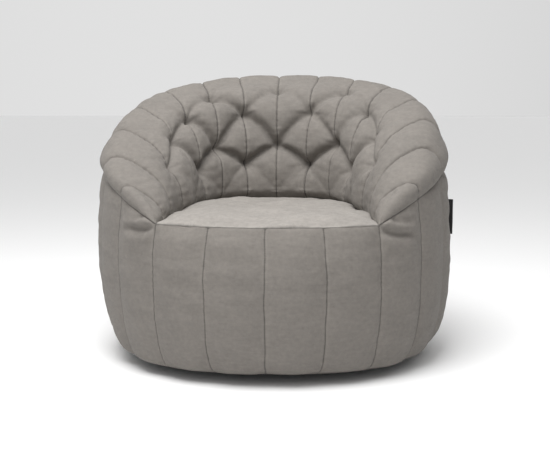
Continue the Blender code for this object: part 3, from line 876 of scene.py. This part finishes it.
def tinted(tree, shader, colour, factor):
    """Sets the base colour to one colour times a factor that varies over the surface."""
    scaled = add(tree, "VectorMath", {0: colour, "Scale": factor}, operation="SCALE")
    tree.links.new(scaled.outputs[0], shader.inputs["Base Color"])


def roughened(tree, shader, value):
    tree.links.new(value, shader.inputs["Roughness"])


def bumped(tree, shader, height, distance):
    inputs = {"Height": height, "Distance": distance, "Strength": 1.0}
    made = add(tree, "Bump", inputs)
    tree.links.new(made.outputs[0], shader.inputs["Normal"])


def cover_cloth(name, colour):
    """A brushed microfibre: a fine weave under a short nap that lies in soft, uneven patches."""
    made, tree, shader = principled(name, 0.9, COVER_SHEEN)
    place = add(tree, "TexCoord", {}).outputs["Object"]
    from_seam = add(tree, "Attribute", {}, attribute_name="from_seam").outputs["Fac"]
    along_seam = add(tree, "Attribute", {}, attribute_name="along_seam").outputs["Fac"]
    patches = noise(tree, place, 11.0, 3.0)
    strokes = noise(tree, stretched(tree, place, (38.0, 38.0, 150.0)), 1.0, 3.0, 0.6)
    mottle = noise(tree, place, 95.0, 3.0, 0.65)
    nap = noise(tree, place, 1300.0, 2.0, 0.7)
    # Painted shade darkens the cloth in the seams' grooves, and a painted highlight lightens it
    # just beside them.
    shaded, seam_highlight = near(tree, from_seam, 0.0016), near(tree, from_seam, 0.0060)
    parts = [(patches, 0.06), (strokes, 0.07), (mottle, 0.12), (nap, 0.14)]
    parts += [(seam_highlight, 0.13), (shaded, -0.60)]
    tinted(tree, shader, colour, weighted(tree, parts, 1.0))
    roughened(tree, shader, weighted(tree, [(patches, 0.03), (mottle, 0.04)], 0.86))
    weft, warp = ripple(tree, from_seam, 0.0011), ripple(tree, along_seam, 0.0011)
    weave = maths(tree, "MULTIPLY", weft, warp)
    beside_seam = near(tree, from_seam, 0.0032)
    stitches = maths(tree, "MULTIPLY", ripple(tree, along_seam, 0.0042), beside_seam)
    parts = [(nap, 0.35), (mottle, 0.30), (weave, 0.25), (stitches, 1.1)]
    bumped(tree, shader, weighted(tree, parts, 0.0), 0.00035)
    return made


def underside_cloth():
    """A dark, hard-wearing twill, a little dusty where it meets the floor."""
    made, tree, shader = principled("underside_cloth_look", 0.9, 0.1)
    place = add(tree, "TexCoord", {}).outputs["Object"]
    split = add(tree, "SeparateXYZ", {0: place})
    across, along = split.outputs[0], split.outputs[1]
    diagonal = ripple(tree, maths(tree, "ADD", across, along), 0.0032)
    cross = ripple(tree, maths(tree, "SUBTRACT", across, along), 0.0010)
    dust, grain = noise(tree, place, 16.0, 4.0, 0.65), noise(tree, place, 900.0)
    parts = [(dust, 0.12), (grain, 0.10), (diagonal, 0.10)]
    tinted(tree, shader, UNDERSIDE_COLOUR, weighted(tree, parts, 1.0))
    roughened(tree, shader, weighted(tree, [(dust, 0.05)], 0.88))
    parts = [(diagonal, 0.6), (cross, 0.25), (grain, 0.4)]
    bumped(tree, shader, weighted(tree, parts, 0.0), 0.0004)
    return made


def label_cloth():
    """A black satin ribbon with close ribs across it."""
    made, tree, shader = principled("label_cloth_look", 0.5, 0.02)
    place = add(tree, "TexCoord", {}).outputs["Object"]
    height = add(tree, "SeparateXYZ", {0: place}).outputs[2]
    ribs, grain = ripple(tree, height, 0.0012), noise(tree, place, 1500.0)
    patches = noise(tree, place, 60.0)
    parts = [(ribs, 0.18), (grain, 0.15), (patches, 0.1)]
    tinted(tree, shader, LABEL_COLOUR, weighted(tree, parts, 1.0))
    roughened(tree, shader, weighted(tree, [(patches, 0.05), (ribs, 0.05)], 0.48))
    bumped(tree, shader, weighted(tree, [(ribs, 0.7), (grain, 0.3)], 0.0), 0.0003)
    return made


def tape_cloth():
    """The zip's tape: a tight herringbone."""
    made, tree, shader = principled("zip_tape_look", 0.85, 0.1)
    place = add(tree, "TexCoord", {}).outputs["Object"]
    split = add(tree, "SeparateXYZ", {0: place})
    folded = maths(tree, "PINGPONG", split.outputs[0], 0.0016)
    twill = ripple(tree, maths(tree, "ADD", folded, split.outputs[1]), 0.0014)
    grain = noise(tree, place, 1200.0)
    tinted(tree, shader, TAPE_COLOUR, weighted(tree, [(twill, 0.16), (grain, 0.14)], 1.0))
    bumped(tree, shader, weighted(tree, [(twill, 0.7), (grain, 0.4)], 0.0), 0.0003)
    return made


def zip_plastic():
    """Moulded nylon, with the chain's pitch pressed into it and fine scuffs."""
    made, tree, shader = principled("zip_plastic_look", 0.42)
    place = add(tree, "TexCoord", {}).outputs["Object"]
    along = add(tree, "SeparateXYZ", {0: place}).outputs[1]
    pitch = ripple(tree, along, 0.0015)
    scuffs, grain = noise(tree, place, 240.0, 4.0, 0.7), noise(tree, place, 2200.0)
    tinted(tree, shader, PLASTIC_COLOUR, weighted(tree, [(scuffs, 0.18), (pitch, 0.12)], 1.0))
    roughened(tree, shader, weighted(tree, [(scuffs, 0.08)], 0.42))
    bumped(tree, shader, weighted(tree, [(pitch, 0.5), (scuffs, 0.15), (grain, 0.1)], 0.0), 0.0003)
    return made


# --- Stage ----------------------------------------------------------------------------------

FLOOR_HALF_SIZE = 30
FLOOR_COLOUR = (0.90, 0.90, 0.90, 1)
WORLD_STRENGTH = 0.74
SIDE_DIMMING = 0.68
RIGHT_DIMMING = 0.20
OVERHEAD_PLACE = Vector((-0.30, -0.95, 2.55))
OVERHEAD_TARGET = Vector((0, 0, 0.3))
OVERHEAD_SIZE = 1.7
OVERHEAD_POWER = 74
CEILING_STRENGTH = 0.5
CEILING_SPREAD = math.radians(80)

# The camera looks from a little right of the middle, and slightly down
CAMERA_AZIMUTH = math.radians(2.86)
CAMERA_ELEVATION = math.radians(7.36)
CAMERA_DISTANCE = 2.81
CAMERA_AIM_HEIGHT = 0.343
CAMERA_SENSOR = 36  # mm, as is the lens
CAMERA_LENS = 66.24
CAMERA_SHIFT = 0.00182


def make_floor():
    data = bpy.data.meshes.new("floor")
    corners = [(x, y, 0) for x, y in ((-1, -1), (1, -1), (1, 1), (-1, 1))]
    points = [Vector(corner) * FLOOR_HALF_SIZE for corner in corners]
    data.from_pydata(points, [], [(0, 1, 2, 3)])
    floor = bpy.data.objects.new("floor", data)
    bpy.context.scene.collection.objects.link(floor)
    made, _, shader = principled("floor_paint", 0.8)
    shader.inputs["Base Color"].default_value = FLOOR_COLOUR
    data.materials.append(made)


def make_world():
    """A pale room whose walls are dimmer at both sides, and dimmest on the right."""
    world = bpy.data.worlds.new("studio")
    bpy.context.scene.world = world
    world.use_nodes = True
    tree = world.node_tree
    way = add(tree, "TexCoord", {}).outputs["Generated"]
    aside = add(tree, "SeparateXYZ", {0: way}).outputs[0]
    square = maths(tree, "MULTIPLY", aside, aside)
    dimmed = weighted(tree, [(square, -SIDE_DIMMING), (aside, -RIGHT_DIMMING)], 1.0)
    background = tree.nodes["Background"]
    tree.links.new(dimmed, background.inputs["Color"])
    background.inputs["Strength"].default_value = WORLD_STRENGTH


def make_lights():
    overhead = bpy.data.lights.new("overhead", "AREA")
    overhead.size = OVERHEAD_SIZE
    overhead.energy = OVERHEAD_POWER
    thing = bpy.data.objects.new("overhead", overhead)
    thing.location = OVERHEAD_PLACE
    way = OVERHEAD_TARGET - OVERHEAD_PLACE
    thing.rotation_euler = way.to_track_quat("-Z", "Y").to_euler()
    bpy.context.scene.collection.objects.link(thing)
    ceiling = bpy.data.lights.new("ceiling", "SUN")
    ceiling.energy = CEILING_STRENGTH
    ceiling.angle = CEILING_SPREAD
    bpy.context.scene.collection.objects.link(bpy.data.objects.new("ceiling", ceiling))


def make_camera():
    back = Vector((
        math.sin(CAMERA_AZIMUTH) * math.cos(CAMERA_ELEVATION),
        -math.cos(CAMERA_AZIMUTH) * math.cos(CAMERA_ELEVATION),
        math.sin(CAMERA_ELEVATION),
    ))
    data = bpy.data.cameras.new("camera")
    data.sensor_width = CAMERA_SENSOR
    data.lens = CAMERA_LENS
    data.shift_x = CAMERA_SHIFT
    camera = bpy.data.objects.new("camera", data)
    camera.location = Vector((0, 0, CAMERA_AIM_HEIGHT)) + back * CAMERA_DISTANCE
    camera.rotation_mode = "QUATERNION"
    camera.rotation_quaternion = (-back).to_track_quat("-Z", "Y")
    bpy.context.scene.collection.objects.link(camera)
    bpy.context.scene.camera = camera


def main():
    cloth = cover_cloth("cover_cloth_look", COVER_COLOUR)
    # The seat's cloth is the cover's, painted lighter as painted light on its top-lit face.
    seat_lit_copy = cover_cloth("seat_painted_light_look", LIT_SEAT_COLOUR)
    base_cloth = underside_cloth()
    wrap = make_wrap(cloth)
    base = make_base(cloth)
    seat = make_seat(seat_lit_copy)
    unders = make_underside(base_cloth)
    ribbon = make_label(label_cloth())
    dress_zip()
    for thing in (wrap, base, seat, ribbon, *unders):
        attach(thing, "chair")
    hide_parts(*[f"backrest_gore_{n:02d}" for n in range(1, WRAP_GORES + 1)],
                "backrest_liner", "backrest_liner_flap", "backrest_bead_fill", "divider_panel")
    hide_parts(*[f"base_gore_{n:02d}" for n in range(1, GORES + 1)],
                "base_liner", "base_liner_flap", "base_bead_fill")
    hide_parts("seat_panel")
    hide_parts("side_label")
    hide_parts("underside_panel_right")
    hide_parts("underside_panel_left")
    make_floor()
    make_world()
    make_lights()
    bpy.context.scene.view_settings.view_transform = "Standard"
    make_camera()


main()
